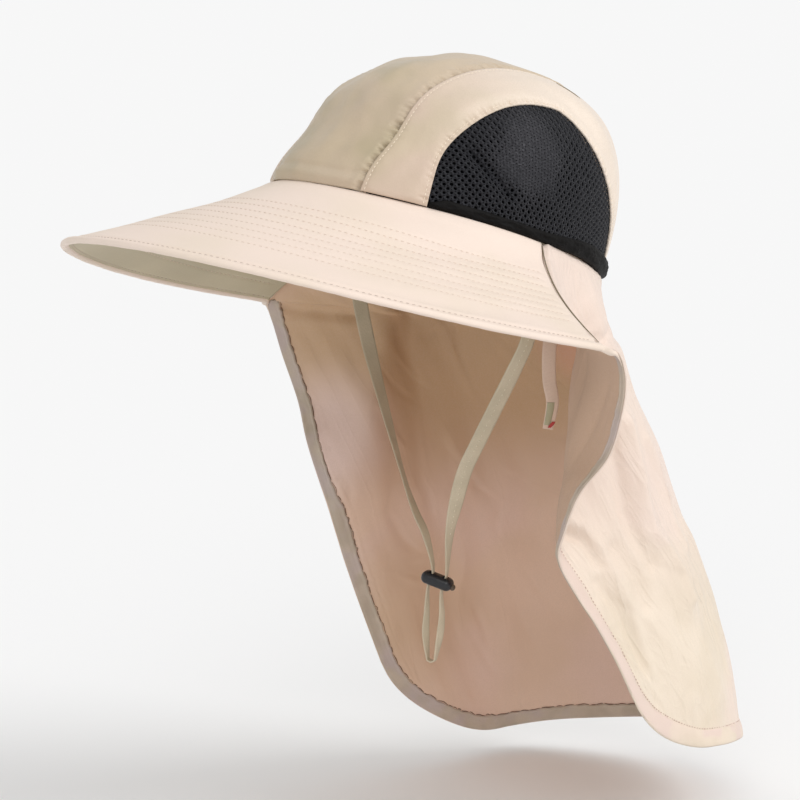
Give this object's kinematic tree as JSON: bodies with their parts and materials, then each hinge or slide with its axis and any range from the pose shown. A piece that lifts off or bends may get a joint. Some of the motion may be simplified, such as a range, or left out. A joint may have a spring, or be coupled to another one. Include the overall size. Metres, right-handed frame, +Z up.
{
  "type": "sun hat",
  "caption": "Soft sun hat with a wide stitched brim over the front and sides, arched mesh side windows, a long draped neck flap and a hanging chin strap with a toggle.",
  "frame": {"origin": "centre of the head opening, in the plane where the crown meets the brim, where the head holds the hat", "axes": "+Z up against gravity, -Y towards the front of the hat, +X to the wearer's left; the opening's plane is tipped back by 18.4 degrees, front up"},
  "size_m": [0.3054, 0.4241, 0.4295],
  "materials": {
    "cloth": "sand-coloured smooth woven nylon with a soft sheen",
    "cloth_side": "sand-coloured smooth woven nylon with a soft sheen",
    "mesh_black": "black spacer mesh with round holes",
    "band_black": "black folded cloth",
    "tape": "flat woven tape, darker sand",
    "plastic": "black, satin"
  },
  "bodies": {
    "root": {"crown_centre_panel": "cloth", "crown_side_left": "cloth_side", "crown_side_right": "cloth_side", "mesh_window_left": "mesh_black", "mesh_window_right": "mesh_black", "mesh_band_left": "band_black", "mesh_band_right": "band_black", "brim": "cloth", "brim_binding": "cloth", "neck_flap": "cloth", "chin_strap": "tape", "toggle": "plastic", "rear_tail": "tape"}
  },
  "joints": []
}
